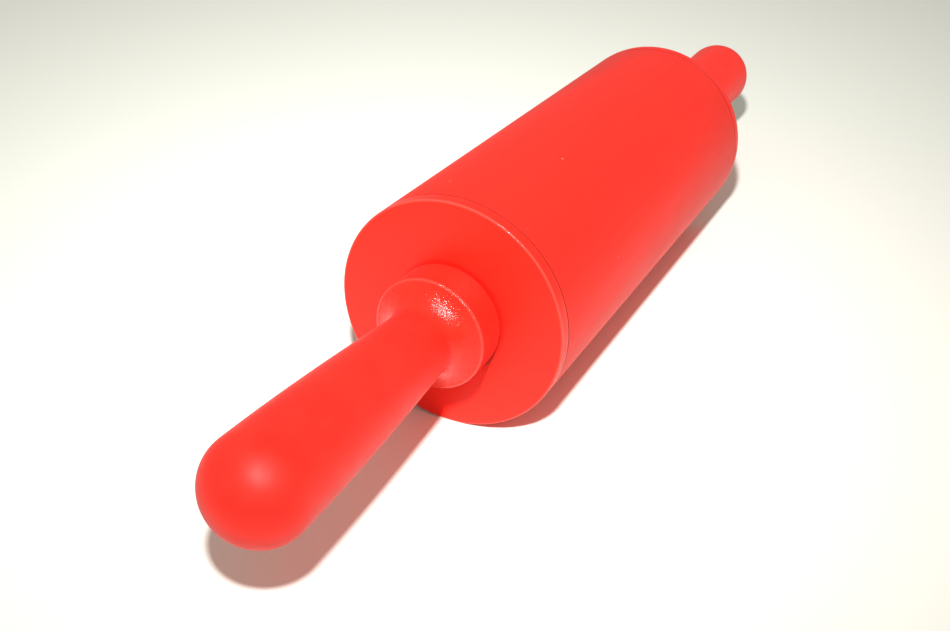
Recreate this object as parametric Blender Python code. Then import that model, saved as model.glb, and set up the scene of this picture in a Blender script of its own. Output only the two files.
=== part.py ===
"""Small rolling pin: a silicone-skinned barrel that turns on a steel rod between two moulded handles.

Frame: metres, +Z up, origin at the middle of the barrel on its axis. The axis is X, the left handle is at -X,
and the pin rolls along Y. Every round piece is a profile of (x, radius) points turned about the X axis.
"""

import math

import bmesh
import bpy
from mathutils import Matrix

# Driving dimensions, in metres.
BARREL_RADIUS = 0.0250
BARREL_LENGTH = 0.1230  # between the outer faces of the two end caps
HANDLE_REACH = 0.0725  # from an end cap's outer face to the tip of its handle
ROD_RADIUS = 0.0030

GAP = 0.0003  # clearance between pieces that touch
RUNNING_GAP = 0.0005  # between a cap's face and the back of the handle's collar

# Silicone skin and the rigid tube under it.
SKIN = 0.0030
TUBE_WALL = 0.0030
SKIN_INNER_RADIUS = BARREL_RADIUS - SKIN
TUBE_RADIUS = SKIN_INNER_RADIUS - GAP
TUBE_INNER_RADIUS = TUBE_RADIUS - TUBE_WALL

# End cap: a disc flush with the skin, a spigot inside the tube, and a ribbed hub that holds the bush.
CAP_FACE = BARREL_LENGTH / 2
CAP_RIM = 0.0029
CAP_EDGE_ROUND = 0.0005
CAP_INNER_FACE = CAP_FACE - CAP_RIM
SPIGOT_RADIUS = TUBE_INNER_RADIUS - GAP
SPIGOT_WALL = 0.0024
SPIGOT_DEPTH = 0.0120
HUB_RADIUS = 0.0080
RIB_COUNT = 6
RIB_THICKNESS = 0.0018
RIB_DEPTH = 0.0085

# Flanged bush, pressed into the hub from outside.
BUSH_BORE = ROD_RADIUS + 0.0002
BUSH_RADIUS = 0.0050
BUSH_FLANGE_RADIUS = 0.0070
BUSH_FLANGE = 0.0014
BUSH_LENGTH = 0.0130
BUSH_PROUD = 0.0001  # the flange stands this far out of the cap's face

# Washer between the turning bush and the handle.
WASHER_RADIUS = 0.0065
WASHER = 0.0010

# Threaded insert moulded into each handle, and the rod's end in it.
INSERT_RADIUS = 0.0050
INSERT_LENGTH = 0.0160
INSERT_BORE = ROD_RADIUS
INSERT_END_WALL = 0.0012
INSERT_GROOVE = 0.0006
THREAD_RADIUS = ROD_RADIUS - GAP
ROD_CHAMFER = 0.0006

# Handle: a collar that flares slightly, a wide cove down to a slim neck, a swelling grip and a round end.
COLLAR_BACK_RADIUS = 0.01185
COLLAR_RADIUS = 0.0120
COLLAR_LENGTH = 0.0084  # from the cap's face to the collar's front
COLLAR_ROUND = 0.0005
EDGE_END = 16  # degrees from +X, where the collar's rounded edge runs into the cove
COVE_LENGTH = 0.0050
COVE_START = 20  # degrees along the cove's ellipse at the collar, so the cove leaves the edge at a slant
NECK_RADIUS = 0.00725
NECK_LENGTH = 0.0006
GRIP_RADIUS = 0.0100
GRIP_SWELL = 0.65  # 0 is a straight taper, 1 a quarter sine wave
END_LENGTH = 0.0093  # the half ellipsoid at the tip
RECESS_RADIUS = 0.0076  # hollow in the collar that hides the washer
RECESS_DEPTH = 0.0012

# Places along the axis, measured on the right-hand side.
BUSH_FLANGE_FACE = CAP_FACE + BUSH_PROUD
BUSH_SEAT = BUSH_FLANGE_FACE - BUSH_FLANGE - GAP
WASHER_START = BUSH_FLANGE_FACE + GAP
COLLAR_BACK = CAP_FACE + RUNNING_GAP
RECESS_FLOOR = COLLAR_BACK + RECESS_DEPTH
INSERT_START = RECESS_FLOOR + GAP
INSERT_END = INSERT_START + INSERT_LENGTH
INSERT_FLOOR = INSERT_END - INSERT_END_WALL
ROD_END = INSERT_FLOOR - GAP
HANDLE_TIP = CAP_FACE + HANDLE_REACH

BARREL_SEGMENTS = 48
HANDLE_SEGMENTS = 32
SMALL_SEGMENTS = 24
MERGE_DISTANCE = 1e-6
SHARP_ANGLE = math.radians(35)

RED = (0.86, 0.035, 0.025, 1.0)


def clear_scene():
    for old in list(bpy.data.objects):
        bpy.data.objects.remove(old)


def material(name, colour, roughness, metallic=0.0):
    made = bpy.data.materials.new(name)
    made.use_nodes = True
    shader = made.node_tree.nodes["Principled BSDF"]
    shader.inputs["Base Color"].default_value = colour
    shader.inputs["Roughness"].default_value = roughness
    shader.inputs["Metallic"].default_value = metallic
    return made


def arc(centre_x, centre_radius, radius_x, radius_r, start_deg, end_deg, steps):
    """Points along an elliptical arc in the (x, radius) plane. 0 degrees is +X and 90 degrees is outwards."""
    points = []
    for step in range(steps + 1):
        angle = math.radians(start_deg + (end_deg - start_deg) * step / steps)
        points.append((centre_x + radius_x * math.cos(angle), centre_radius + radius_r * math.sin(angle)))
    return points


def turned(profile, segments):
    """The closed (x, radius) profile turned once about the X axis, with a flat facet at the bottom."""
    bm = bmesh.new()
    verts = [bm.verts.new((x, 0.0, radius)) for x, radius in profile]
    edges = [bm.edges.new((verts[i - 1], verts[i])) for i in range(len(verts))]
    bmesh.ops.rotate(bm, verts=verts, matrix=Matrix.Rotation(math.pi / segments, 3, "X"))
    bmesh.ops.spin(
        bm, geom=verts + edges, cent=(0, 0, 0), axis=(1, 0, 0), angle=math.tau, steps=segments, use_merge=True
    )
    return bm


def place(bm, name, finish, side=1):
    """Makes a bmesh a named object. Pieces are modelled on the right, and side -1 puts one on the left."""
    bmesh.ops.scale(bm, vec=(side, 1, 1), verts=bm.verts)
    bmesh.ops.remove_doubles(bm, verts=bm.verts, dist=MERGE_DISTANCE)
    bmesh.ops.recalc_face_normals(bm, faces=bm.faces)
    mesh = bpy.data.meshes.new(name)
    bm.to_mesh(mesh)
    bm.free()
    mesh.shade_smooth()
    mesh.set_sharp_from_angle(angle=SHARP_ANGLE)
    mesh.materials.append(finish)
    made = bpy.data.objects.new(name, mesh)
    bpy.context.scene.collection.objects.link(made)
    return made


def tube_profile(start, end, inner, outer):
    return [(start, inner), (end, inner), (end, outer), (start, outer)]


def silicone_sleeve(finish):
    half = CAP_INNER_FACE - GAP
    profile = tube_profile(-half, half, SKIN_INNER_RADIUS, BARREL_RADIUS)
    place(turned(profile, BARREL_SEGMENTS), "silicone_sleeve", finish)


def core_tube(finish):
    half = CAP_INNER_FACE - GAP
    profile = tube_profile(-half, half, TUBE_INNER_RADIUS, TUBE_RADIUS)
    place(turned(profile, BARREL_SEGMENTS), "core_tube", finish)


def cap_profile():
    """Face, rim, spigot and bored hub, without the ribs between spigot and hub."""
    bore = BUSH_RADIUS + GAP
    flange_bore = BUSH_FLANGE_RADIUS + GAP
    spigot_end = CAP_INNER_FACE - SPIGOT_DEPTH
    edge_x = CAP_FACE - CAP_EDGE_ROUND
    edge_radius = BARREL_RADIUS - CAP_EDGE_ROUND
    return [
        (BUSH_SEAT, flange_bore),
        (CAP_FACE, flange_bore),
        *arc(edge_x, edge_radius, CAP_EDGE_ROUND, CAP_EDGE_ROUND, 0, 90, 3),
        (CAP_INNER_FACE, BARREL_RADIUS),
        (CAP_INNER_FACE, SPIGOT_RADIUS),
        (spigot_end, SPIGOT_RADIUS),
        (spigot_end, SPIGOT_RADIUS - SPIGOT_WALL),
        (CAP_INNER_FACE, SPIGOT_RADIUS - SPIGOT_WALL),
        (CAP_INNER_FACE, HUB_RADIUS),
        (spigot_end, HUB_RADIUS),
        (spigot_end, bore),
        (BUSH_SEAT, bore),
    ]


def cap_ribs():
    """Radial plates that run into the hub, the spigot and the disc."""
    inner = (HUB_RADIUS + BUSH_RADIUS + GAP) / 2
    outer = SPIGOT_RADIUS - SPIGOT_WALL / 2
    start = CAP_INNER_FACE - RIB_DEPTH
    end = CAP_INNER_FACE + CAP_RIM / 3
    bm = bmesh.new()
    for number in range(RIB_COUNT):
        rib = bmesh.ops.create_cube(bm, size=1.0)["verts"]
        bmesh.ops.scale(bm, vec=(end - start, RIB_THICKNESS, outer - inner), verts=rib)
        bmesh.ops.translate(bm, vec=((start + end) / 2, 0, (inner + outer) / 2), verts=rib)
        turn = Matrix.Rotation(math.tau * number / RIB_COUNT, 3, "X")
        bmesh.ops.rotate(bm, verts=rib, cent=(0, 0, 0), matrix=turn)
    return bm


def end_cap(word, side, finish):
    cap = place(turned(cap_profile(), BARREL_SEGMENTS), word + "_end_cap", finish, side)
    ribs = place(cap_ribs(), word + "_cap_ribs", finish, side)
    ribs.hide_render = True
    ribs.display_type = "WIRE"
    union = cap.modifiers.new("ribs", "BOOLEAN")
    union.operation = "UNION"
    union.solver = "EXACT"
    union.object = ribs


def bush(word, side, finish):
    inner_end = BUSH_FLANGE_FACE - BUSH_LENGTH
    flange_back = BUSH_FLANGE_FACE - BUSH_FLANGE
    profile = [
        (inner_end, BUSH_BORE),
        (BUSH_FLANGE_FACE, BUSH_BORE),
        (BUSH_FLANGE_FACE, BUSH_FLANGE_RADIUS),
        (flange_back, BUSH_FLANGE_RADIUS),
        (flange_back, BUSH_RADIUS),
        (inner_end, BUSH_RADIUS),
    ]
    place(turned(profile, SMALL_SEGMENTS), word + "_bush", finish, side)


def axle_rod(finish):
    """A plain rod, turned down a little at each end where it is threaded into a handle."""
    right = [
        (RECESS_FLOOR, ROD_RADIUS),
        (RECESS_FLOOR, THREAD_RADIUS),
        (ROD_END - ROD_CHAMFER, THREAD_RADIUS),
        (ROD_END, THREAD_RADIUS - ROD_CHAMFER),
        (ROD_END, 0.0),
    ]
    left = [(-x, radius) for x, radius in reversed(right)]
    place(turned(left + right, SMALL_SEGMENTS), "axle_rod", finish)


def thrust_washer(word, side, finish):
    profile = tube_profile(WASHER_START, WASHER_START + WASHER, ROD_RADIUS + GAP, WASHER_RADIUS)
    place(turned(profile, SMALL_SEGMENTS), word + "_thrust_washer", finish, side)


def thread_insert(word, side, finish):
    """A blind insert with two grooves that lock it into the moulding."""
    band = INSERT_LENGTH / 5
    waist = INSERT_RADIUS - INSERT_GROOVE
    profile = [(INSERT_START, INSERT_BORE), (INSERT_START, INSERT_RADIUS)]
    for groove in (INSERT_START + band, INSERT_START + 3 * band):
        profile += [(groove, INSERT_RADIUS), (groove, waist)]
        profile += [(groove + band, waist), (groove + band, INSERT_RADIUS)]
    profile += [(INSERT_END, INSERT_RADIUS), (INSERT_END, 0.0)]
    profile += [(INSERT_FLOOR, 0.0), (INSERT_FLOOR, INSERT_BORE)]
    place(turned(profile, SMALL_SEGMENTS), word + "_thread_insert", finish, side)


def grip_points(start, end, steps):
    """The grip between its neck and its round end: part straight taper, part sine swell."""
    points = []
    for step in range(1, steps):
        share = step / steps
        growth = GRIP_SWELL * math.sin(share * math.pi / 2) + (1 - GRIP_SWELL) * share
        points.append((start + (end - start) * share, NECK_RADIUS + (GRIP_RADIUS - NECK_RADIUS) * growth))
    return points


def handle_profile():
    collar_front = CAP_FACE + COLLAR_LENGTH
    cove_end = collar_front + COVE_LENGTH
    neck_end = cove_end + NECK_LENGTH
    grip_end = HANDLE_TIP - END_LENGTH
    edge = arc(0.0, COLLAR_RADIUS - COLLAR_ROUND, COLLAR_ROUND, COLLAR_ROUND, 90, EDGE_END, 3)
    edge_x, cove_top = edge[-1]
    edge = [(collar_front - edge_x + x, radius) for x, radius in edge]
    start = math.radians(COVE_START)
    cove_x = COVE_LENGTH / math.cos(start)
    cove_r = (cove_top - NECK_RADIUS) / (1 - math.sin(start))
    pocket = INSERT_RADIUS + GAP
    pocket_end = INSERT_END + GAP
    return [
        (COLLAR_BACK, COLLAR_BACK_RADIUS),
        *edge,
        *arc(cove_end, NECK_RADIUS + cove_r, cove_x, cove_r, 180 + COVE_START, 270, 6)[1:],
        (neck_end, NECK_RADIUS),
        *grip_points(neck_end, grip_end, 6),
        *arc(grip_end, 0.0, END_LENGTH, GRIP_RADIUS, 90, 0, 7)[:-1],
        (HANDLE_TIP, 0.0),
        (pocket_end, 0.0),
        (pocket_end, pocket),
        (RECESS_FLOOR, pocket),
        (RECESS_FLOOR, RECESS_RADIUS),
        (COLLAR_BACK, RECESS_RADIUS),
    ]


def handle(word, side, finish):
    place(turned(handle_profile(), HANDLE_SEGMENTS), word + "_handle", finish, side)


def main():
    clear_scene()
    silicone = material("red_silicone", RED, 0.55)
    cap_plastic = material("red_cap_plastic", RED, 0.45)
    handle_plastic = material("red_handle_plastic", RED, 0.42)
    tube_plastic = material("white_tube_plastic", (0.80, 0.79, 0.75, 1.0), 0.5)
    acetal = material("natural_acetal", (0.88, 0.87, 0.82, 1.0), 0.35)
    rod_steel = material("rod_steel", (0.62, 0.62, 0.63, 1.0), 0.28, 1.0)
    washer_steel = material("washer_steel", (0.55, 0.55, 0.56, 1.0), 0.34, 1.0)
    brass = material("brass", (0.78, 0.57, 0.22, 1.0), 0.30, 1.0)

    silicone_sleeve(silicone)
    core_tube(tube_plastic)
    axle_rod(rod_steel)
    for word, side in (("left", -1), ("right", 1)):
        end_cap(word, side, cap_plastic)
        bush(word, side, acetal)
        thrust_washer(word, side, washer_steel)
        thread_insert(word, side, brass)
        handle(word, side, handle_plastic)


main()
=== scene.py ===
"""The finished look of a small silicone rolling pin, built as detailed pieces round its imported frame.

Every piece is turned about the X axis, which runs along the barrel. The right-hand pieces are modelled first
and the left-hand ones are their mirror images.
"""

import math

import bmesh
import bpy
from bpy.props import FloatProperty, FloatVectorProperty, PointerProperty
from mathutils import Matrix, Vector


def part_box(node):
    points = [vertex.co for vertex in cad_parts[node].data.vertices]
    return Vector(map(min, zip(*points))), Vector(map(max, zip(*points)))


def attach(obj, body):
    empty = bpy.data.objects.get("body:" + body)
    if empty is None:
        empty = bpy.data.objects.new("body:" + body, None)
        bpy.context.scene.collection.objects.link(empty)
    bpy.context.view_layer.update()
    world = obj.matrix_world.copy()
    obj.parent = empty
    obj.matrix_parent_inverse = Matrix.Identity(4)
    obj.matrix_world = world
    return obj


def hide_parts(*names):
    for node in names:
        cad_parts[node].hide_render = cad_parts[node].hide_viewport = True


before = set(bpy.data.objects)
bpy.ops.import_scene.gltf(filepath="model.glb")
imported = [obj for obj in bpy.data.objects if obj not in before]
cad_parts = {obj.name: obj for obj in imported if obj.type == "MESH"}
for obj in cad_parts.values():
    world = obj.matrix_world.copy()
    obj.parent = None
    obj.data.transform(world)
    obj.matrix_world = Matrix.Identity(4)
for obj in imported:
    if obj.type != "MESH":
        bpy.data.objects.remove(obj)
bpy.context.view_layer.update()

bl_info = {
    "name": "Rolling Pin Maker",
    "version": (1, 0, 0),
    "blender": (4, 5, 0),
    "location": "View3D > Sidebar > Rolling Pin",
    "description": "Makes the detailed pieces of a silicone rolling pin",
    "category": "Add Mesh",
}

MM = 0.001
SIDES = (("left", -1), ("right", 1))

# The frame's round pieces are solids with flat facets, so their boxes are a little narrower than the circles.
BARREL_FACETS = 48
HANDLE_FACETS = 32
SMALL_FACETS = 24

BARREL_SEGMENTS = 192
HANDLE_SEGMENTS = 128
SMALL_SEGMENTS = 72
ROUND_STEPS = 5
COLLAR_EDGE_STEPS = 10
COVE_STEPS = 26
GRIP_STEPS = 26
END_STEPS = 28
MERGE_DISTANCE = 1e-7
SHARP_ANGLE = math.radians(40)


def circle_radius(node, facets):
    """The radius of the circle through the corners of a faceted node."""
    low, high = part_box(node)
    return (high.z - low.z) / 2 / math.cos(math.pi / facets)


# Places along the axis and radii, all read from the frame.
BARREL_RADIUS = circle_radius("silicone_sleeve", BARREL_FACETS)
SKIN_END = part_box("silicone_sleeve")[1].x
TUBE_RADIUS = circle_radius("core_tube", BARREL_FACETS)
CAP_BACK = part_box("right_end_cap")[0].x
CAP_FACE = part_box("right_end_cap")[1].x
COLLAR_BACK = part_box("right_handle")[0].x
HANDLE_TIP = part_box("right_handle")[1].x
COLLAR_RADIUS = circle_radius("right_handle", HANDLE_FACETS)
ROD_RADIUS = circle_radius("axle_rod", SMALL_FACETS)
ROD_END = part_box("axle_rod")[1].x
BUSH_BACK, BUSH_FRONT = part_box("right_bush")[0].x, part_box("right_bush")[1].x
BUSH_FLANGE_RADIUS = circle_radius("right_bush", SMALL_FACETS)
WASHER_BACK, WASHER_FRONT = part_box("right_thrust_washer")[0].x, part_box("right_thrust_washer")[1].x
WASHER_RADIUS = circle_radius("right_thrust_washer", SMALL_FACETS)
INSERT_BACK, INSERT_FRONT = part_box("right_thread_insert")[0].x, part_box("right_thread_insert")[1].x
INSERT_RADIUS = circle_radius("right_thread_insert", SMALL_FACETS)

# Sizes that the frame's boxes don't give. They are the frame's own.
GAP = 0.3 * MM
SKIN = 3.0 * MM
TUBE_WALL = 3.0 * MM
CAP_RIM = CAP_FACE - SKIN_END - GAP
LIP = 0.06 * MM  # rounding on the two edges of the fine line between the skin and a cap
SPIGOT_WALL = 2.4 * MM
HUB_RADIUS = 8.0 * MM
RIB_COUNT = 6
RIB_THICKNESS = 1.8 * MM
RIB_DEPTH = 8.5 * MM
BUSH_RADIUS = 5.0 * MM
BUSH_FLANGE = 1.4 * MM
BUSH_BORE = ROD_RADIUS + 0.2 * MM
THREAD_RADIUS = ROD_RADIUS - GAP
COLLAR_FLARE = 0.15 * MM  # how much wider the collar is at its front than at its back
COLLAR_BACK_EDGE = 0.15 * MM
COLLAR_FRONT = CAP_FACE + 8.4 * MM
EDGE_END = 16  # degrees from +X, where the collar's rounded edge runs into the cove
COVE_LENGTH = 5.0 * MM
COVE_START = 20  # degrees along the cove's ellipse at the collar, so the cove leaves the edge at a slant
NECK_LENGTH = 0.6 * MM
GRIP_SWELL = 0.65  # 0 is a straight taper, 1 a quarter sine wave
END_LENGTH = 9.3 * MM
RECESS_RADIUS = 7.6 * MM
RECESS_FLOOR = INSERT_BACK - GAP
INSERT_END_WALL = 1.2 * MM

# The finishes. A highlight or a shade is the strongest share of one of two colours: the paler colour painted
# along edges as a highlight, or the dark red painted as shade.
SILICONE_SPECULAR = 0.36
MOULDING_SPECULAR = 0.32
MOULDING_CLOUD = 11 * MM
CAP_EDGE_HIGHLIGHT = 0.30
CAP_EDGE_REACH = 0.5 * MM
CAP_POLISH = 0.30  # how much smoother the cap's front edge is than its face
COLLAR_EDGE_HIGHLIGHT = 0.20
COLLAR_EDGE_HIGHLIGHT_REACH = 0.55 * MM
CONTACT_SHADE_DARKNESS = 0.45
CAP_CONTACT_SHADE_REACH = 0.9 * MM
COLLAR_CONTACT_SHADE_REACH = 0.5 * MM
HANDLE_SHEEN = 0.02
GRAIN_SIZE = 0.21 * MM
GRAIN_DEPTH = 0.095 * MM
GRAIN_ROUGHNESS = 0.14
GRIP_ROUGHNESS = 0.54
GRAIN_END = COLLAR_FRONT + COVE_LENGTH + NECK_LENGTH
GRAIN_FADE = 5.0 * MM
CORNER_CORE = 0.4  # the share of a corner mask's reach that is at full strength
SPECK_CORE = 0.6  # the share of a speck's radius that is at full strength

# The camera and the key light beside it, in metres and degrees.
CAMERA_PLACE = Vector((-0.2368, -0.0931, 0.1113))
CAMERA_HEADING = 26.43  # from +X towards +Y
CAMERA_PITCH = -29.20
CAMERA_ROLL = 1.41
CAMERA_LENS = 42.8
KEY_PLACE = Vector((-0.2279, -0.0787, 0.1919))
KEY_HEADING = 27.2
KEY_PITCH = -38.0
KEY_SPREAD = 91.0
KEY_SIZE = 0.015
KEY_POWER = 5.1
FILL_COLOUR = (1.0, 1.0, 0.90)
FILL_STRENGTH = 0.40
FLOOR_REACH = 6.0


class PinSettings(bpy.types.PropertyGroup):
    """Sizes and colours of the pin that a user may change."""

    parting_gap: FloatProperty(
        name="Parting gap",
        description="Width of the fine line between the skin and each end cap",
        default=0.22 * MM,
        min=0.05 * MM,
        max=0.3 * MM,
        unit="LENGTH",
    )
    cap_edge: FloatProperty(
        name="Cap edge",
        description="Radius of the rounded edge round each cap's face",
        default=0.32 * MM,
        min=0.1 * MM,
        max=1.0 * MM,
        unit="LENGTH",
    )
    collar_edge: FloatProperty(
        name="Collar edge",
        description="Radius of the rounded edge at the front of each collar",
        default=0.58 * MM,
        min=0.2 * MM,
        max=1.0 * MM,
        unit="LENGTH",
    )
    neck_radius: FloatProperty(
        name="Neck radius",
        description="Radius of the handle where it is slimmest",
        default=7.25 * MM,
        min=6.6 * MM,
        max=8.0 * MM,
        unit="LENGTH",
    )
    grip_radius: FloatProperty(
        name="Grip radius",
        description="Radius of the handle where it is widest, near its tip",
        default=10.0 * MM,
        min=9.0 * MM,
        max=10.5 * MM,
        unit="LENGTH",
    )
    silicone_colour: FloatVectorProperty(
        name="Silicone",
        description="Colour of the barrel's skin",
        subtype="COLOR",
        size=3,
        min=0.0,
        max=1.0,
        default=(0.88, 0.016, 0.0065),
    )
    moulding_colour: FloatVectorProperty(
        name="Moulding",
        description="Colour of the end caps and the handles",
        subtype="COLOR",
        size=3,
        min=0.0,
        max=1.0,
        default=(0.88, 0.015, 0.006),
    )
    dust_colour: FloatVectorProperty(
        name="Dust",
        description="Colour of the specks of flour dust that cling to the skin",
        subtype="COLOR",
        size=3,
        min=0.0,
        max=1.0,
        default=(0.95, 0.33, 0.28),
    )
    # Painted highlight: this paler colour is laid along the caps' and collars' front edges, where light
    # glances off them. It also tints faint random patches on the grips.
    pale_patch_and_edge_highlight_colour: FloatVectorProperty(
        name="Worn edge",
        description="Paler colour of the moulding where its edges are rubbed",
        subtype="COLOR",
        size=3,
        min=0.0,
        max=1.0,
        default=(0.95, 0.14, 0.11),
    )
    # Painted shade: this dark red is laid in the parting lines and round each collar's back, where shade
    # falls in the gaps between pieces.
    gap_shade_colour: FloatVectorProperty(
        name="Grime",
        description="Dark red of the dirt in the fine gaps between pieces",
        subtype="COLOR",
        size=3,
        min=0.0,
        max=1.0,
        default=(0.16, 0.003, 0.002),
    )
    floor_colour: FloatVectorProperty(
        name="Floor",
        description="Colour of the surface the pin lies on",
        subtype="COLOR",
        size=3,
        min=0.0,
        max=1.0,
        default=(0.86, 0.86, 0.79),
    )


# ---------------------------------------------------------------- mesh helpers


def arc(centre_x, centre_radius, radius_x, radius_r, start, end, steps):
    """Profile points along an elliptical arc. 0 degrees points along +X and 90 degrees away from the axis."""
    points = []
    for step in range(steps + 1):
        angle = math.radians(start + (end - start) * step / steps)
        points.append((centre_x + radius_x * math.cos(angle), centre_radius + radius_r * math.sin(angle)))
    return points


def softened(corners):
    """A closed profile from (x, radius, rounding) corners, each cut by a curve that reaches its rounding."""
    points = []
    for index, (x, radius, rounding) in enumerate(corners):
        corner = Vector((x, radius))
        before = Vector(corners[index - 1][:2]) - corner
        after = Vector(corners[(index + 1) % len(corners)][:2]) - corner
        if rounding == 0:
            points.append((x, radius))
            continue
        start = corner + before.normalized() * min(rounding, before.length / 2)
        end = corner + after.normalized() * min(rounding, after.length / 2)
        for step in range(ROUND_STEPS + 1):
            share = step / ROUND_STEPS
            point = start * (1 - share) ** 2 + corner * 2 * share * (1 - share) + end * share**2
            points.append((point.x, point.y))
    return points


def turned(profile, segments):
    """A closed (x, radius) profile turned once about the X axis."""
    bm = bmesh.new()
    verts = [bm.verts.new((x, 0.0, radius)) for x, radius in profile]
    edges = [bm.edges.new((verts[i - 1], verts[i])) for i in range(len(verts))]
    bmesh.ops.spin(
        bm, geom=verts + edges, cent=(0, 0, 0), axis=(1, 0, 0), angle=math.tau, steps=segments, use_merge=True
    )
    return bm


def cleaned(bm, side=1):
    """Mirrors the piece for the left side, closes its poles and seam, and points its faces outwards."""
    bmesh.ops.scale(bm, vec=(side, 1, 1), verts=bm.verts)
    bmesh.ops.remove_doubles(bm, verts=bm.verts, dist=MERGE_DISTANCE)
    bmesh.ops.dissolve_degenerate(bm, edges=bm.edges, dist=MERGE_DISTANCE)
    bmesh.ops.recalc_face_normals(bm, faces=bm.faces)
    return bm


def made_object(bm, name):
    mesh = bpy.data.meshes.new(name)
    bm.to_mesh(mesh)
    bm.free()
    piece = bpy.data.objects.new(name, mesh)
    bpy.context.scene.collection.objects.link(piece)
    return piece


def united(piece, tool):
    """Joins the tool into the piece as one closed body, and removes the tool."""
    union = piece.modifiers.new("union", "BOOLEAN")
    union.operation = "UNION"
    union.solver = "EXACT"
    union.object = tool
    graph = bpy.context.evaluated_depsgraph_get()
    joined = bpy.data.meshes.new_from_object(piece.evaluated_get(graph))
    piece.modifiers.clear()
    piece.data = joined
    bpy.data.objects.remove(tool)
    return piece


def finished(piece, material, body, slot, *nodes):
    """Shades the piece, gives it its material and body, and lets it stand for its CAD nodes."""
    piece.data.shade_smooth()
    piece.data.set_sharp_from_angle(angle=SHARP_ANGLE)
    piece.data.materials.clear()
    piece.data.materials.append(material)
    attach(piece, body)
    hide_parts(*nodes)
    return piece


# ------------------------------------------------------------ material helpers


class Surface:
    """A Principled material whose node tree is built a step at a time."""

    def __init__(self, name, roughness=0.5, metallic=0.0, specular=0.5):
        self.material = bpy.data.materials.new(name)
        self.material.use_nodes = True
        self.tree = self.material.node_tree
        self.shader = self.tree.nodes["Principled BSDF"]
        self.shader.inputs["Roughness"].default_value = roughness
        self.shader.inputs["Metallic"].default_value = metallic
        self.shader.inputs["Specular IOR Level"].default_value = specular
        self.place = self.node("ShaderNodeTexCoord").outputs["Object"]

    def node(self, kind, **settings):
        made = self.tree.nodes.new(kind)
        for key, value in settings.items():
            setattr(made, key, value)
        return made

    def link(self, source, target):
        self.tree.links.new(source, target)

    def stretched(self, scale):
        """The object's coordinates, scaled by different amounts along each axis."""
        mapping = self.node("ShaderNodeMapping")
        mapping.inputs["Scale"].default_value = scale
        self.link(self.place, mapping.inputs["Vector"])
        return mapping.outputs["Vector"]

    def turned_place(self):
        """A point's place in the turned profile: its distance from the middle along the axis, and radius."""
        split = self.node("ShaderNodeSeparateXYZ")
        self.link(self.place, split.inputs["Vector"])
        x, y, z = split.outputs
        square = self.math("ADD", self.math("MULTIPLY", y, y), self.math("MULTIPLY", z, z))
        return self.math("ABSOLUTE", x), self.math("SQRT", square)

    def corner(self, x, radius, reach):
        """A mask round one corner of the turned profile: 1 on the corner, 0 at reach metres from it."""
        place = self.node("ShaderNodeCombineXYZ")
        for socket, value in zip(place.inputs, self.turned_place()):
            self.link(value, socket)
        away = self.node("ShaderNodeVectorMath", operation="DISTANCE")
        self.link(place.outputs["Vector"], away.inputs[0])
        away.inputs[1].default_value = (x, radius, 0.0)
        return self.ranged(away.outputs["Value"], reach * CORNER_CORE, reach, 1.0, 0.0)

    def noise(self, size, detail=2.0, place=None):
        """Noise whose features are about size metres across."""
        made = self.node("ShaderNodeTexNoise")
        made.inputs["Scale"].default_value = 1 / size
        made.inputs["Detail"].default_value = detail
        self.link(place or self.place, made.inputs["Vector"])
        return made.outputs["Fac"]

    def cloud(self, size, detail=2.0, most=1.0):
        """Soft patches about size metres across, from 0 to most."""
        return self.ranged(self.noise(size, detail), 0.35, 0.65, 0.0, most)

    def ranged(self, value, low, high, to_low, to_high):
        """A value carried from one range to another and held within it."""
        made = self.node("ShaderNodeMapRange", clamp=True)
        for key, number in (("From Min", low), ("From Max", high), ("To Min", to_low), ("To Max", to_high)):
            made.inputs[key].default_value = number
        self.link(value, made.inputs["Value"])
        return made.outputs["Result"]

    def math(self, operation, first, second=0.0):
        made = self.node("ShaderNodeMath", operation=operation)
        for socket, value in zip(made.inputs, (first, second)):
            if isinstance(value, (int, float)):
                socket.default_value = value
            else:
                self.link(value, socket)
        return made.outputs[0]

    def mixed(self, share, first, second):
        """One colour over another. Each is a socket or an (r, g, b)."""
        made = self.node("ShaderNodeMix", data_type="RGBA")
        self.link(share, made.inputs["Factor"])
        for socket, colour in ((made.inputs[6], first), (made.inputs[7], second)):
            if isinstance(colour, bpy.types.NodeSocket):
                self.link(colour, socket)
            else:
                socket.default_value = (*colour, 1.0)
        return made.outputs[2]

    def specks(self, cell, size, share):
        """A mask of sparse round specks, 1 inside one. Cell is their spacing, and share how many are kept."""
        made = self.node("ShaderNodeTexVoronoi")
        made.inputs["Scale"].default_value = 1 / cell
        self.link(self.place, made.inputs["Vector"])
        near = self.ranged(made.outputs["Distance"], size / cell * SPECK_CORE, size / cell, 1.0, 0.0)
        split = self.node("ShaderNodeSeparateColor")
        self.link(made.outputs["Color"], split.inputs["Color"])
        kept = self.math("GREATER_THAN", split.outputs["Red"], 1 - share)
        return self.math("MULTIPLY", near, kept)

    def bump(self, *layers):
        """Stacks (height, depth in metres, strength) layers into the shader's normal."""
        normal = None
        for height, depth, strength in layers:
            made = self.node("ShaderNodeBump")
            made.inputs["Strength"].default_value = strength
            made.inputs["Distance"].default_value = depth
            self.link(height, made.inputs["Height"])
            if normal is not None:
                self.link(normal, made.inputs["Normal"])
            normal = made.outputs["Normal"]
        self.link(normal, self.shader.inputs["Normal"])

    def colour(self, socket):
        self.link(socket, self.shader.inputs["Base Color"])

    def roughness(self, socket):
        self.link(socket, self.shader.inputs["Roughness"])


def scaled(colour, amount):
    return tuple(channel * amount for channel in colour)


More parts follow.
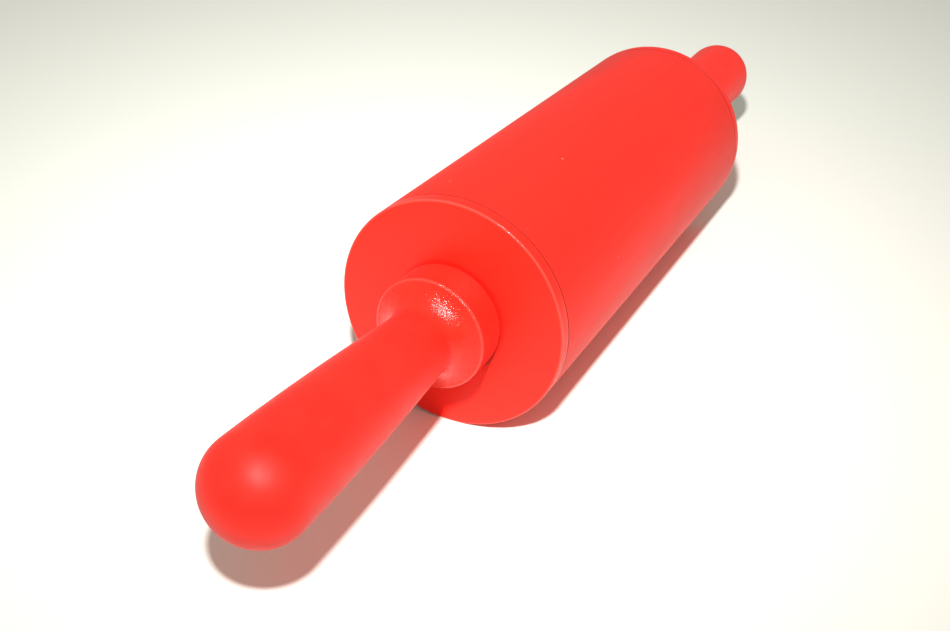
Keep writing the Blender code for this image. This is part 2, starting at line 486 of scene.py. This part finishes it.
def silicone_material(settings):
    """Matt silicone: cloudy colour, faint rubbed streaks, clinging dust, and painted shade in its parting
    line.
    """
    made = Surface("red_silicone", specular=SILICONE_SPECULAR)
    red = tuple(settings.silicone_colour)
    tinted = made.mixed(made.cloud(14 * MM), scaled(red, 0.95), red)
    dust = made.math(
        "MAXIMUM", made.specks(5.0 * MM, 0.22 * MM, 0.30), made.specks(11.0 * MM, 0.34 * MM, 0.25)
    )
    dusted = made.mixed(dust, tinted, tuple(settings.dust_colour))
    # Painted shade: dark red is laid in a band at each end of the skin, in the parting line.
    end = CAP_FACE - CAP_RIM - settings.parting_gap
    along = made.turned_place()[0]
    parting = made.ranged(along, end - LIP, end, 0.0, 1.0)
    made.colour(made.mixed(parting, dusted, tuple(settings.gap_shade_colour)))
    streaks = made.noise(2.4 * MM, 3.0, made.stretched((0.12, 1.0, 1.0)))
    dry = made.ranged(streaks, 0.35, 0.70, 0.53, 0.57)
    made.roughness(made.math("MAXIMUM", dry, made.math("MULTIPLY", dust, 0.9)))
    made.bump(
        (made.noise(12 * MM), 0.04 * MM, 0.12),
        (made.noise(0.22 * MM, 3.0), 0.012 * MM, 0.35),
        (dust, 0.05 * MM, 0.5),
    )
    return made.material


def cap_material(settings):
    """Satin moulded plastic: uneven gloss, a polished front edge with a painted highlight, and painted shade
    in its parting line and round the collar's back.
    """
    made = Surface("red_cap_plastic", specular=MOULDING_SPECULAR)
    red = tuple(settings.moulding_colour)
    painted_gap_shade = tuple(settings.gap_shade_colour)
    tinted = made.mixed(made.cloud(MOULDING_CLOUD), scaled(red, 0.96), red)
    dust = made.specks(9.0 * MM, 0.25 * MM, 0.15)
    dusted = made.mixed(dust, tinted, tuple(settings.dust_colour))
    # Painted highlight: the pale colour is laid along the cap's front edge. The same edge mask also makes
    # that edge smoother and adds a grain bump to it.
    edge = made.corner(CAP_FACE, BARREL_RADIUS, CAP_EDGE_REACH)
    edge_highlighted = made.mixed(made.math("MULTIPLY", edge, CAP_EDGE_HIGHLIGHT), dusted, tuple(settings.pale_patch_and_edge_highlight_colour))
    # Painted shade: a dark ring is laid on the face where the collar's back meets it.
    rubbed = made.corner(CAP_FACE, COLLAR_RADIUS - COLLAR_FLARE, CAP_CONTACT_SHADE_REACH)
    contact_shaded = made.mixed(made.math("MULTIPLY", rubbed, CONTACT_SHADE_DARKNESS), edge_highlighted, painted_gap_shade)
    # Painted shade: dark red is laid in the parting line just behind the rim.
    along, radius = made.turned_place()
    behind = made.ranged(along, CAP_FACE - CAP_RIM, CAP_FACE - CAP_RIM + LIP, 1.0, 0.0)
    parting = made.math("MULTIPLY", behind, made.math("GREATER_THAN", radius, TUBE_RADIUS))
    made.colour(made.mixed(parting, contact_shaded, painted_gap_shade))
    gloss = made.ranged(made.noise(4.5 * MM, 3.0), 0.35, 0.68, 0.38, 0.48)
    made.roughness(made.math("SUBTRACT", gloss, made.math("MULTIPLY", edge, CAP_POLISH)))
    made.bump(
        (made.noise(7 * MM), 0.03 * MM, 0.25),
        (made.noise(0.30 * MM), 0.014 * MM, 0.6),
        (made.math("MULTIPLY", made.noise(0.26 * MM, 0.5), edge), 0.05 * MM, 1.0),
    )
    return made.material


def handle_material(settings):
    """Moulded plastic with a sparkling grain round the collar and cove, fading to a rubbed satin grip."""
    made = Surface("red_handle_plastic", specular=MOULDING_SPECULAR)
    made.shader.inputs["Sheen Weight"].default_value = HANDLE_SHEEN
    red = tuple(settings.moulding_colour)
    pale = tuple(settings.pale_patch_and_edge_highlight_colour)
    tinted = made.mixed(made.cloud(9 * MM, most=0.04), red, pale)
    # Painted highlight: the pale colour is laid along the collar's front edge.
    edge = made.corner(COLLAR_FRONT, COLLAR_RADIUS, COLLAR_EDGE_HIGHLIGHT_REACH)
    edge_highlighted = made.mixed(made.math("MULTIPLY", edge, COLLAR_EDGE_HIGHLIGHT), tinted, pale)
    # Painted shade: a dark ring is laid round the collar's back, where it meets the cap's face.
    back = made.corner(COLLAR_BACK, COLLAR_RADIUS - COLLAR_FLARE, COLLAR_CONTACT_SHADE_REACH)
    made.colour(made.mixed(made.math("MULTIPLY", back, CONTACT_SHADE_DARKNESS), edge_highlighted, tuple(settings.gap_shade_colour)))
    along = made.turned_place()[0]
    rubbed = made.ranged(along, GRAIN_END - GRAIN_FADE, GRAIN_END + GRAIN_FADE, 0.0, 1.0)
    gloss = made.ranged(made.noise(4.5 * MM, 3.0), 0.35, 0.68, -0.04, 0.05)
    made.roughness(made.math("ADD", gloss, made.ranged(rubbed, 0.0, 1.0, GRAIN_ROUGHNESS, GRIP_ROUGHNESS)))
    fresh = made.math("SUBTRACT", 1.0, rubbed)
    grain = made.math("MULTIPLY", made.noise(GRAIN_SIZE, 0.5), fresh)
    made.bump(
        (made.noise(7 * MM), 0.03 * MM, 0.2),
        (grain, GRAIN_DEPTH, 1.0),
        (made.noise(0.35 * MM), 0.010 * MM, 0.3),
    )
    return made.material


def plain_moulding_material(name, colour, roughness):
    """Unseen moulded plastic: flow clouds and a fine grain."""
    made = Surface(name, roughness)
    made.colour(made.mixed(made.cloud(8 * MM, 3.0), scaled(colour, 0.93), colour))
    made.roughness(made.ranged(made.noise(3 * MM), 0.3, 0.7, roughness - 0.06, roughness + 0.08))
    made.bump((made.noise(0.3 * MM), 0.01 * MM, 0.4))
    return made.material


def metal_material(name, colour, roughness, turning_pitch):
    """Bright metal with the fine rings that a lathe or a drawing die leaves round it."""
    made = Surface(name, roughness, 1.0)
    rings = made.noise(turning_pitch, 2.0, made.stretched((1.0, 0.02, 0.02)))
    stain = made.ranged(made.noise(3 * MM, 3.0), 0.4, 0.7, 0.0, 1.0)
    made.colour(made.mixed(stain, colour, scaled(colour, 0.82)))
    made.roughness(made.ranged(rings, 0.3, 0.7, roughness - 0.07, roughness + 0.10))
    made.bump((rings, 0.008 * MM, 0.5))
    return made.material


# ------------------------------------------------------------------- profiles


def skin_profile(settings):
    """The skin's wall, with a fine lip at each end."""
    end = CAP_FACE - CAP_RIM - settings.parting_gap
    inner = BARREL_RADIUS - SKIN
    return softened(
        [(-end, inner, 0), (end, inner, 0), (end, BARREL_RADIUS, LIP), (-end, BARREL_RADIUS, LIP)]
    )


def cap_profile(settings):
    """Face, rounded edge, rim, spigot and bored hub, without the ribs."""
    inner_face = CAP_FACE - CAP_RIM
    spigot = TUBE_RADIUS - TUBE_WALL - GAP
    bore = BUSH_RADIUS + GAP
    seat_bore = BUSH_FLANGE_RADIUS + GAP
    seat = BUSH_FRONT - BUSH_FLANGE - GAP
    small = 0.12 * MM
    fillet = 0.5 * MM
    return softened(
        [
            (seat, seat_bore, 0),
            (CAP_FACE, seat_bore, small),
            (CAP_FACE, BARREL_RADIUS, settings.cap_edge),
            (inner_face, BARREL_RADIUS, LIP),
            (inner_face, spigot, 0),
            (CAP_BACK, spigot, fillet),
            (CAP_BACK, spigot - SPIGOT_WALL, fillet),
            (inner_face, spigot - SPIGOT_WALL, fillet),
            (inner_face, HUB_RADIUS, fillet),
            (CAP_BACK, HUB_RADIUS, small),
            (CAP_BACK, bore, small),
            (seat, bore, 0),
        ]
    )


def grip_points(start, end, neck, widest, steps):
    """The grip between its neck and its round end: part straight taper, part sine swell."""
    points = []
    for step in range(1, steps):
        share = step / steps
        growth = GRIP_SWELL * math.sin(share * math.pi / 2) + (1 - GRIP_SWELL) * share
        points.append((start + (end - start) * share, neck + (widest - neck) * growth))
    return points


def handle_profile(settings):
    """Collar, cove, neck, grip and round end, then the insert's pocket and the recess in the collar."""
    neck, widest, edge = settings.neck_radius, settings.grip_radius, settings.collar_edge
    cove_end = COLLAR_FRONT + COVE_LENGTH
    neck_end = cove_end + NECK_LENGTH
    grip_end = HANDLE_TIP - END_LENGTH
    rounding = arc(0.0, COLLAR_RADIUS - edge, edge, edge, 90, EDGE_END, COLLAR_EDGE_STEPS)
    edge_x, cove_top = rounding[-1]
    rounding = [(COLLAR_FRONT - edge_x + x, radius) for x, radius in rounding]
    start = math.radians(COVE_START)
    cove_x = COVE_LENGTH / math.cos(start)
    cove_r = (cove_top - neck) / (1 - math.sin(start))
    pocket = INSERT_RADIUS + GAP
    pocket_end = INSERT_FRONT + GAP
    return [
        (COLLAR_BACK, COLLAR_RADIUS - COLLAR_FLARE - COLLAR_BACK_EDGE),
        (COLLAR_BACK + COLLAR_BACK_EDGE, COLLAR_RADIUS - COLLAR_FLARE),
        *rounding,
        *arc(cove_end, neck + cove_r, cove_x, cove_r, 180 + COVE_START, 270, COVE_STEPS)[1:],
        (neck_end, neck),
        *grip_points(neck_end, grip_end, neck, widest, GRIP_STEPS),
        *arc(grip_end, 0.0, END_LENGTH, widest, 90, 0, END_STEPS)[:-1],
        (HANDLE_TIP, 0.0),
        (pocket_end, 0.0),
        (pocket_end, pocket),
        (RECESS_FLOOR, pocket),
        (RECESS_FLOOR, RECESS_RADIUS),
        (COLLAR_BACK, RECESS_RADIUS),
    ]


def thread_points(start, end, crest, root, pitch):
    """Ridges that stand for a thread, as a zigzag between root and crest."""
    count = int((end - start) / pitch)
    points = []
    for number in range(count):
        points.append((start + pitch * number, root))
        points.append((start + pitch * (number + 0.5), crest))
    points.append((start + pitch * count, root))
    return points


# ------------------------------------------------------------------ operators


class ROLLINGPIN_OT_skin(bpy.types.Operator):
    """Makes the silicone skin of the barrel"""

    bl_idname = "rolling_pin.skin"
    bl_label = "Silicone Skin"

    def execute(self, context):
        settings = context.scene.rolling_pin
        piece = made_object(cleaned(turned(skin_profile(settings), BARREL_SEGMENTS)), "barrel_skin")
        finished(piece, silicone_material(settings), "roller", "sleeve", "silicone_sleeve")
        return {"FINISHED"}


class ROLLINGPIN_OT_core(bpy.types.Operator):
    """Makes the rigid tube under the skin"""

    bl_idname = "rolling_pin.core"
    bl_label = "Core Tube"

    def execute(self, context):
        chamfer = 0.4 * MM
        inner = TUBE_RADIUS - TUBE_WALL
        profile = softened(
            [
                (-SKIN_END, inner, chamfer),
                (SKIN_END, inner, chamfer),
                (SKIN_END, TUBE_RADIUS, chamfer),
                (-SKIN_END, TUBE_RADIUS, chamfer),
            ]
        )
        piece = made_object(cleaned(turned(profile, BARREL_SEGMENTS)), "barrel_core")
        finish = plain_moulding_material("white_tube_plastic", (0.80, 0.79, 0.75), 0.5)
        finished(piece, finish, "roller", "tube", "core_tube")
        return {"FINISHED"}


class ROLLINGPIN_OT_caps(bpy.types.Operator):
    """Makes the two end caps, each with its spigot, hub and ribs"""

    bl_idname = "rolling_pin.caps"
    bl_label = "End Caps"

    def ribs(self):
        """Radial plates that run into the hub, the spigot and the disc."""
        inner_face = CAP_FACE - CAP_RIM
        inner = (HUB_RADIUS + BUSH_RADIUS + GAP) / 2
        outer = TUBE_RADIUS - TUBE_WALL - GAP - SPIGOT_WALL / 2
        start, end = inner_face - RIB_DEPTH, inner_face + CAP_RIM / 3
        bm = bmesh.new()
        for number in range(RIB_COUNT):
            rib = bmesh.ops.create_cube(bm, size=1.0)["verts"]
            bmesh.ops.scale(bm, vec=(end - start, RIB_THICKNESS, outer - inner), verts=rib)
            bmesh.ops.translate(bm, vec=((start + end) / 2, 0, (inner + outer) / 2), verts=rib)
            turn = Matrix.Rotation(math.tau * number / RIB_COUNT, 3, "X")
            bmesh.ops.rotate(bm, verts=rib, cent=(0, 0, 0), matrix=turn)
        return bm

    def execute(self, context):
        settings = context.scene.rolling_pin
        finish = cap_material(settings)
        for word, side in SIDES:
            piece = made_object(cleaned(turned(cap_profile(settings), BARREL_SEGMENTS), side), word + "_cap")
            ribs = made_object(cleaned(self.ribs(), side), word + "_ribs")
            united(piece, ribs)
            finished(piece, finish, "roller", "cap", word + "_end_cap")
        return {"FINISHED"}


class ROLLINGPIN_OT_handles(bpy.types.Operator):
    """Makes the two turned-style handles"""

    bl_idname = "rolling_pin.handles"
    bl_label = "Handles"

    def execute(self, context):
        settings = context.scene.rolling_pin
        finish = handle_material(settings)
        for word, side in SIDES:
            bm = cleaned(turned(handle_profile(settings), HANDLE_SEGMENTS), side)
            piece = made_object(bm, word + "_grip")
            finished(piece, finish, "spindle", "handle", word + "_handle")
        return {"FINISHED"}


class ROLLINGPIN_OT_rod(bpy.types.Operator):
    """Makes the steel rod with its threaded ends"""

    bl_idname = "rolling_pin.rod"
    bl_label = "Steel Rod"

    def execute(self, context):
        pitch = 1.0 * MM
        depth = 0.3 * MM
        start = RECESS_FLOOR + pitch
        threads = thread_points(start, ROD_END - pitch, THREAD_RADIUS, THREAD_RADIUS - depth, pitch)
        right = [
            (RECESS_FLOOR, ROD_RADIUS),
            (RECESS_FLOOR + depth, THREAD_RADIUS - depth),
            *threads,
            (ROD_END - depth, THREAD_RADIUS - depth),
            (ROD_END, THREAD_RADIUS - 2 * depth),
            (ROD_END, 0.0),
        ]
        left = [(-x, radius) for x, radius in reversed(right)]
        piece = made_object(cleaned(turned(left + right, SMALL_SEGMENTS)), "steel_rod")
        finish = metal_material("rod_steel", (0.62, 0.62, 0.63), 0.26, 0.15 * MM)
        finished(piece, finish, "spindle", "rod", "axle_rod")
        return {"FINISHED"}


class ROLLINGPIN_OT_bushes(bpy.types.Operator):
    """Makes the two flanged bushes that the rod turns in"""

    bl_idname = "rolling_pin.bushes"
    bl_label = "Bushes"

    def execute(self, context):
        flange_back = BUSH_FRONT - BUSH_FLANGE
        edge = 0.3 * MM
        profile = softened(
            [
                (BUSH_BACK, BUSH_BORE, edge),
                (BUSH_FRONT, BUSH_BORE, edge),
                (BUSH_FRONT, BUSH_FLANGE_RADIUS, edge),
                (flange_back, BUSH_FLANGE_RADIUS, edge),
                (flange_back, BUSH_RADIUS, 0),
                (BUSH_BACK, BUSH_RADIUS, 2 * edge),
            ]
        )
        finish = plain_moulding_material("natural_acetal", (0.88, 0.87, 0.82), 0.34)
        for word, side in SIDES:
            piece = made_object(cleaned(turned(profile, SMALL_SEGMENTS), side), word + "_flanged_bush")
            finished(piece, finish, "roller", "bush", word + "_bush")
        return {"FINISHED"}


class ROLLINGPIN_OT_washers(bpy.types.Operator):
    """Makes the two thrust washers"""

    bl_idname = "rolling_pin.washers"
    bl_label = "Thrust Washers"

    def execute(self, context):
        bore = ROD_RADIUS + GAP
        edge = 0.25 * MM
        corners = (
            (WASHER_BACK, bore, edge),
            (WASHER_FRONT, bore, edge),
            (WASHER_FRONT, WASHER_RADIUS, edge),
            (WASHER_BACK, WASHER_RADIUS, edge),
        )
        finish = metal_material("washer_steel", (0.55, 0.55, 0.56), 0.34, 0.3 * MM)
        for word, side in SIDES:
            bm = cleaned(turned(softened(corners), SMALL_SEGMENTS), side)
            finished(made_object(bm, word + "_washer"), finish, "spindle", "washer", word + "_thrust_washer")
        return {"FINISHED"}


class ROLLINGPIN_OT_inserts(bpy.types.Operator):
    """Makes the two blind brass inserts, knurled so that they hold in the plastic"""

    bl_idname = "rolling_pin.inserts"
    bl_label = "Thread Inserts"

    def execute(self, context):
        floor = INSERT_FRONT - INSERT_END_WALL
        band = (INSERT_FRONT - INSERT_BACK) / 5
        waist = INSERT_RADIUS - 0.6 * MM
        edge = 0.2 * MM
        corners = [(INSERT_BACK, ROD_RADIUS, edge), (INSERT_BACK, INSERT_RADIUS, edge)]
        for groove in (INSERT_BACK + band, INSERT_BACK + 3 * band):
            corners += [(groove, INSERT_RADIUS, edge), (groove, waist, 0)]
            corners += [(groove + band, waist, 0), (groove + band, INSERT_RADIUS, edge)]
        corners += [(INSERT_FRONT, INSERT_RADIUS, edge), (INSERT_FRONT, 0.0, 0)]
        corners += [(floor, 0.0, 0), (floor, ROD_RADIUS, 0)]
        finish = metal_material("turned_brass", (0.78, 0.57, 0.22), 0.30, 0.2 * MM)
        for word, side in SIDES:
            bm = cleaned(turned(softened(corners), SMALL_SEGMENTS), side)
            self.knurl(bm, waist)
            piece = made_object(bm, word + "_brass_insert")
            finished(piece, finish, "spindle", "insert", word + "_thread_insert")
        return {"FINISHED"}

    def knurl(self, bm, waist):
        """Draws every other lengthwise row of the raised bands inwards."""
        teeth = SMALL_SEGMENTS / 2
        depth = 0.15 * MM
        for vert in bm.verts:
            radius = math.hypot(vert.co.y, vert.co.z)
            if radius > waist + depth:
                wave = (1 - math.cos(teeth * math.atan2(vert.co.y, vert.co.z))) / 2
                factor = 1 - depth * wave / radius
                vert.co.y *= factor
                vert.co.z *= factor


# ---------------------------------------------------------------------- stage


def aimed(heading, pitch):
    """The direction at a heading from +X towards +Y and a pitch above the floor, in degrees."""
    heading, pitch = math.radians(heading), math.radians(pitch)
    return Vector((math.cos(pitch) * math.cos(heading), math.cos(pitch) * math.sin(heading), math.sin(pitch)))


class ROLLINGPIN_OT_stage(bpy.types.Operator):
    """Makes the floor, the lights and the camera"""

    bl_idname = "rolling_pin.stage"
    bl_label = "Stage"

    def execute(self, context):
        self.floor(context.scene.rolling_pin)
        self.lights(context.scene)
        self.camera(context.scene)
        context.scene.view_settings.view_transform = "Standard"
        return {"FINISHED"}

    def floor(self, settings):
        bm = bmesh.new()
        bmesh.ops.create_grid(bm, x_segments=1, y_segments=1, size=FLOOR_REACH)
        bmesh.ops.translate(bm, vec=(0, 0, -BARREL_RADIUS), verts=bm.verts)
        floor = made_object(bm, "pale_floor")
        made = Surface("pale_floor", 0.6)
        pale = tuple(settings.floor_colour)
        cloud = made.ranged(made.noise(0.2, 2.0), 0.3, 0.7, 0.0, 1.0)
        made.colour(made.mixed(cloud, scaled(pale, 0.985), pale))
        floor.data.materials.append(made.material)

    def lights(self, scene):
        data = bpy.data.lights.new("key", "AREA")
        data.shape = "DISK"
        data.size = KEY_SIZE
        data.energy = KEY_POWER
        data.spread = math.radians(KEY_SPREAD)
        data.use_nodes = True
        tree = data.node_tree
        falloff = tree.nodes.new("ShaderNodeLightFalloff")
        falloff.inputs["Strength"].default_value = 1.0
        tree.links.new(falloff.outputs["Constant"], tree.nodes["Emission"].inputs["Strength"])
        key = bpy.data.objects.new("key", data)
        key.location = KEY_PLACE
        key.rotation_euler = aimed(KEY_HEADING, KEY_PITCH).to_track_quat("-Z", "Y").to_euler()
        scene.collection.objects.link(key)
        world = bpy.data.worlds.new("studio")
        world.use_nodes = True
        background = world.node_tree.nodes["Background"]
        background.inputs["Color"].default_value = (*FILL_COLOUR, 1.0)
        background.inputs["Strength"].default_value = FILL_STRENGTH
        scene.world = world

    def camera(self, scene):
        level = aimed(CAMERA_HEADING, CAMERA_PITCH).to_track_quat("-Z", "Y").to_matrix()
        turn = level @ Matrix.Rotation(math.radians(CAMERA_ROLL), 3, "Z")
        data = bpy.data.cameras.new("camera")
        data.lens = CAMERA_LENS
        data.clip_start = 0.01
        camera = bpy.data.objects.new("camera", data)
        camera.location = CAMERA_PLACE
        camera.rotation_euler = turn.to_euler()
        scene.collection.objects.link(camera)
        scene.camera = camera


class ROLLINGPIN_PT_panel(bpy.types.Panel):
    """Sidebar panel with the pin's settings and the pieces to make"""

    bl_idname = "ROLLINGPIN_PT_panel"
    bl_label = "Rolling Pin"
    bl_space_type = "VIEW_3D"
    bl_region_type = "UI"
    bl_category = "Rolling Pin"

    def draw(self, context):
        settings = context.scene.rolling_pin
        for name in PinSettings.__annotations__:
            self.layout.prop(settings, name)
        for operator in OPERATORS:
            self.layout.operator(operator.bl_idname)


OPERATORS = (
    ROLLINGPIN_OT_skin,
    ROLLINGPIN_OT_core,
    ROLLINGPIN_OT_caps,
    ROLLINGPIN_OT_handles,
    ROLLINGPIN_OT_rod,
    ROLLINGPIN_OT_bushes,
    ROLLINGPIN_OT_washers,
    ROLLINGPIN_OT_inserts,
    ROLLINGPIN_OT_stage,
)
CLASSES = (PinSettings, *OPERATORS, ROLLINGPIN_PT_panel)


def register():
    for item in CLASSES:
        bpy.utils.register_class(item)
    bpy.types.Scene.rolling_pin = PointerProperty(type=PinSettings)


def unregister():
    del bpy.types.Scene.rolling_pin
    for item in reversed(CLASSES):
        bpy.utils.unregister_class(item)


def main():
    register()
    bpy.ops.rolling_pin.skin()
    bpy.ops.rolling_pin.core()
    bpy.ops.rolling_pin.caps()
    bpy.ops.rolling_pin.handles()
    bpy.ops.rolling_pin.rod()
    bpy.ops.rolling_pin.bushes()
    bpy.ops.rolling_pin.washers()
    bpy.ops.rolling_pin.inserts()
    bpy.ops.rolling_pin.stage()


if __name__ == "__main__":
    main()
